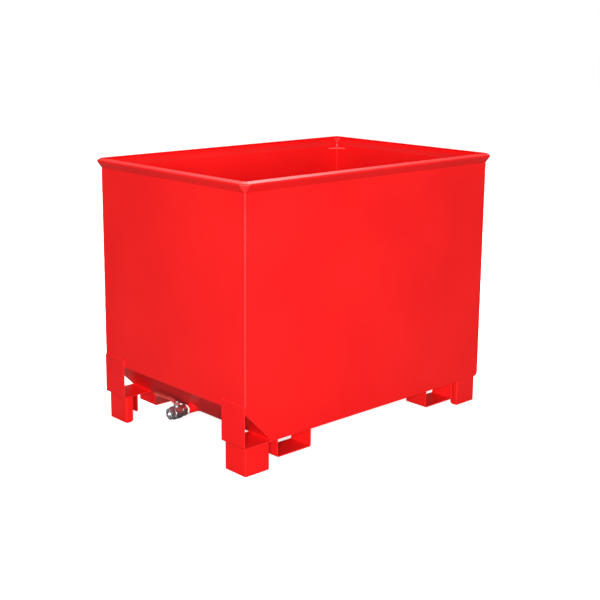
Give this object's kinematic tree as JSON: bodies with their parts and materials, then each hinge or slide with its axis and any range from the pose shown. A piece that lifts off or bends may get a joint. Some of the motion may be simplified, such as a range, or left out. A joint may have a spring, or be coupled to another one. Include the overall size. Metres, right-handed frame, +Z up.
{
  "type": "intermediate bulk container",
  "caption": "Open-top welded steel stacking container with a sloped drain end, fork pockets, folded feet, flared rim and a lever ball valve under the end wall.",
  "frame": {"origin": "on the ground, under the middle of the container's outline", "axes": "+X away from the valve end along the longest side, +Y towards the back long side, +Z up"},
  "size_m": [1.2396, 0.8396, 0.98],
  "materials": {
    "red_powder_coat": "semi-gloss powder coat over welded sheet steel",
    "nickel_plate": "nickel-plated brass",
    "chromed_ball": "polished hard chrome",
    "bright_steel": "zinc-plated steel",
    "white_ptfe": "white PTFE",
    "lever_coat": "red-coated steel",
    "lever_sleeve": "dip-moulded soft PVC"
  },
  "bodies": {
    "container": {"end_wall_valve": "red_powder_coat", "end_wall_plain": "red_powder_coat", "side_panel_front": "red_powder_coat", "side_panel_back": "red_powder_coat", "floor_sheet": "red_powder_coat", "rim_corner_valve_front": "red_powder_coat", "rim_corner_valve_back": "red_powder_coat", "rim_corner_plain_front": "red_powder_coat", "rim_corner_plain_back": "red_powder_coat", "stack_plate_valve_front": "red_powder_coat", "stack_plate_valve_back": "red_powder_coat", "stack_plate_plain_front": "red_powder_coat", "stack_plate_plain_back": "red_powder_coat", "foot_valve_front": "red_powder_coat", "foot_valve_back": "red_powder_coat", "foot_plain_front": "red_powder_coat", "foot_plain_back": "red_powder_coat", "foot_bracket_front": "red_powder_coat", "foot_bracket_back": "red_powder_coat", "fork_pocket_valve_front": "red_powder_coat", "fork_pocket_valve_back": "red_powder_coat", "fork_pocket_plain_front": "red_powder_coat", "fork_pocket_plain_back": "red_powder_coat", "drain_pipe": "red_powder_coat", "thread_tape": "white_ptfe", "ball_seat_inlet": "white_ptfe", "ball_seat_outlet": "white_ptfe", "stem_packing": "white_ptfe", "valve_body": "nickel_plate", "valve_end_cap": "nickel_plate", "gland_nut": "nickel_plate", "drain_strainer": "bright_steel"},
    "valve_lever": {"valve_stem": "bright_steel", "valve_ball": "chromed_ball", "lever": "lever_coat", "lever_sleeve": "lever_sleeve", "lever_nut": "bright_steel"}
  },
  "joints": [
    {"name": "valve_turn", "type": "hinge", "parent": "container", "child": "valve_lever", "pos_m": [-0.574, 0, 0.117], "axis": [0, 0, 1], "range_deg": [0, 90]}
  ]
}
